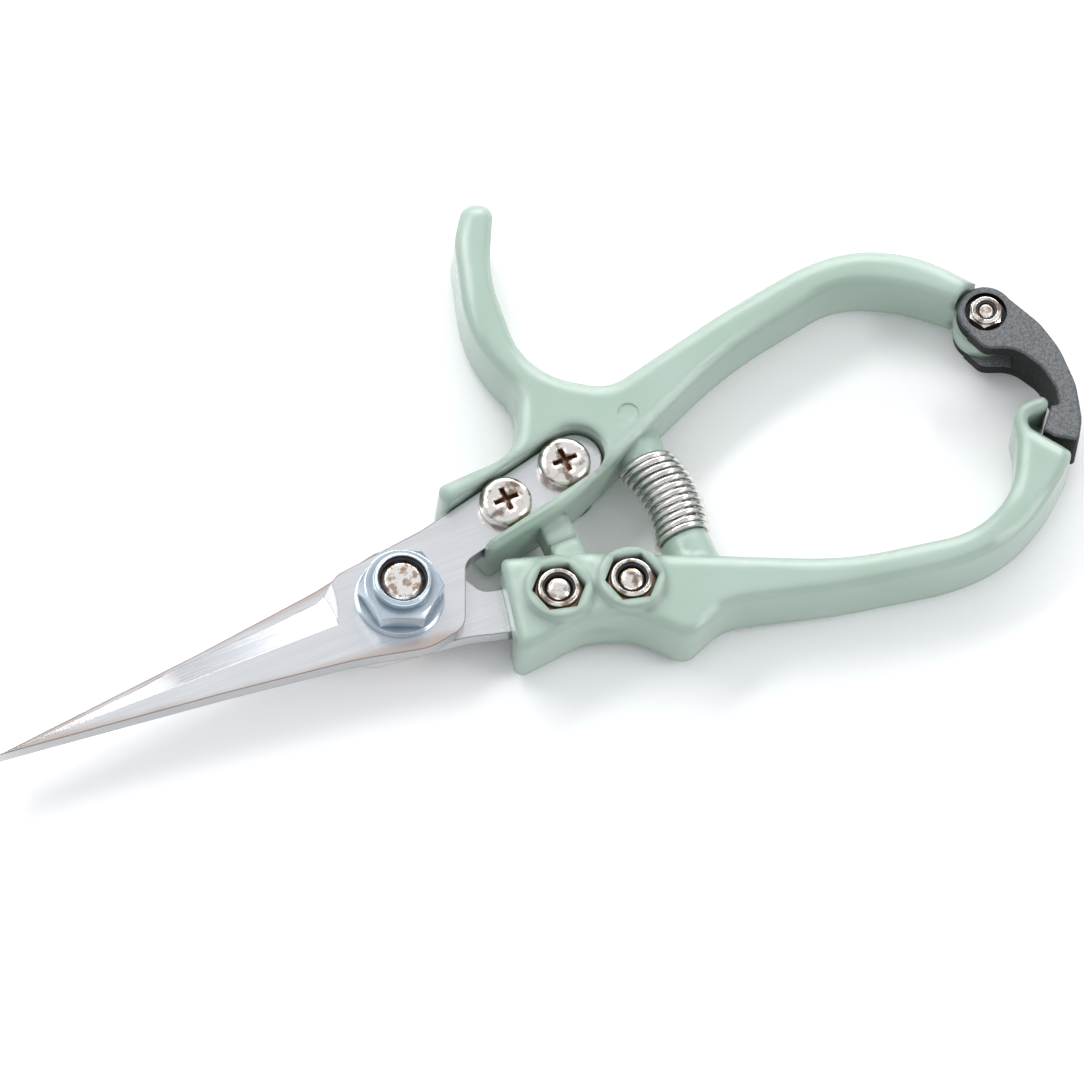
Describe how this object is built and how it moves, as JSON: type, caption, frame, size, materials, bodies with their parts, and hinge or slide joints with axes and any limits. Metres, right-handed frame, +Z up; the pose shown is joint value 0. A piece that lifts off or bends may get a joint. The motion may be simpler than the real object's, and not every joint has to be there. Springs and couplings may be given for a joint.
{
  "type": "bypass pruner",
  "caption": "Bypass snips with slim crossed blades on one bolt, loop handles with a thumb horn, a coil spring between them and a swinging latch that holds them shut.",
  "frame": {"origin": "on the pivot axis, at the underside of the pivot bolt's head, which is table height", "axes": "+X from the blade tips to the handles along the closed blades, +Y towards the thumb horn, +Z up along the pivot axis towards its nut"},
  "size_m": [0.2046, 0.0967, 0.019],
  "materials": {
    "blade_steel": "bright brushed stainless with a hollow grind",
    "handle_enamel": "glossy sage green enamel on die-cast aluminium",
    "pivot_zinc": "bright zinc with a bluish cast",
    "screw_nickel": "bright nickel plate",
    "spring_wire": "bright drawn wire",
    "latch_nylon": "grainy charcoal glass-filled nylon",
    "nylon_ring": "dark nylon"
  },
  "bodies": {
    "upper": {"upper_blade": "blade_steel", "upper_handle": "handle_enamel", "upper_screw_front": "screw_nickel", "upper_screw_rear": "screw_nickel", "upper_nut_front": "screw_nickel", "upper_nut_rear": "screw_nickel", "upper_nut_ring_front": "nylon_ring", "upper_nut_ring_rear": "nylon_ring", "pivot_bolt": "pivot_zinc", "pivot_nut": "pivot_zinc", "pivot_nut_ring": "nylon_ring", "latch_bolt": "screw_nickel", "latch_nut": "screw_nickel", "latch_nut_ring": "nylon_ring", "spring": "nylon_ring"},
    "lower": {"lower_blade": "blade_steel", "lower_handle": "handle_enamel", "lower_screw_front": "screw_nickel", "lower_screw_rear": "screw_nickel", "lower_nut_front": "screw_nickel", "lower_nut_rear": "screw_nickel", "lower_nut_ring_front": "nylon_ring", "lower_nut_ring_rear": "nylon_ring"},
    "latch": {"latch": "latch_nylon"}
  },
  "joints": [
    {"name": "handles_open", "type": "hinge", "parent": "upper", "child": "lower", "pos_m": [0, 0, 0.008], "axis": [0, 0, -1], "range_deg": [0, 20], "deforming": ["spring"]},
    {"name": "latch_swing", "type": "hinge", "parent": "upper", "child": "latch", "pos_m": [0.11806, 0.00986, 0.008], "axis": [0, 0, 1], "range_deg": [0, 80]}
  ],
  "couplings": [
    {"joint": "latch_swing", "follows": "handles_open", "ratio": 4}
  ]
}
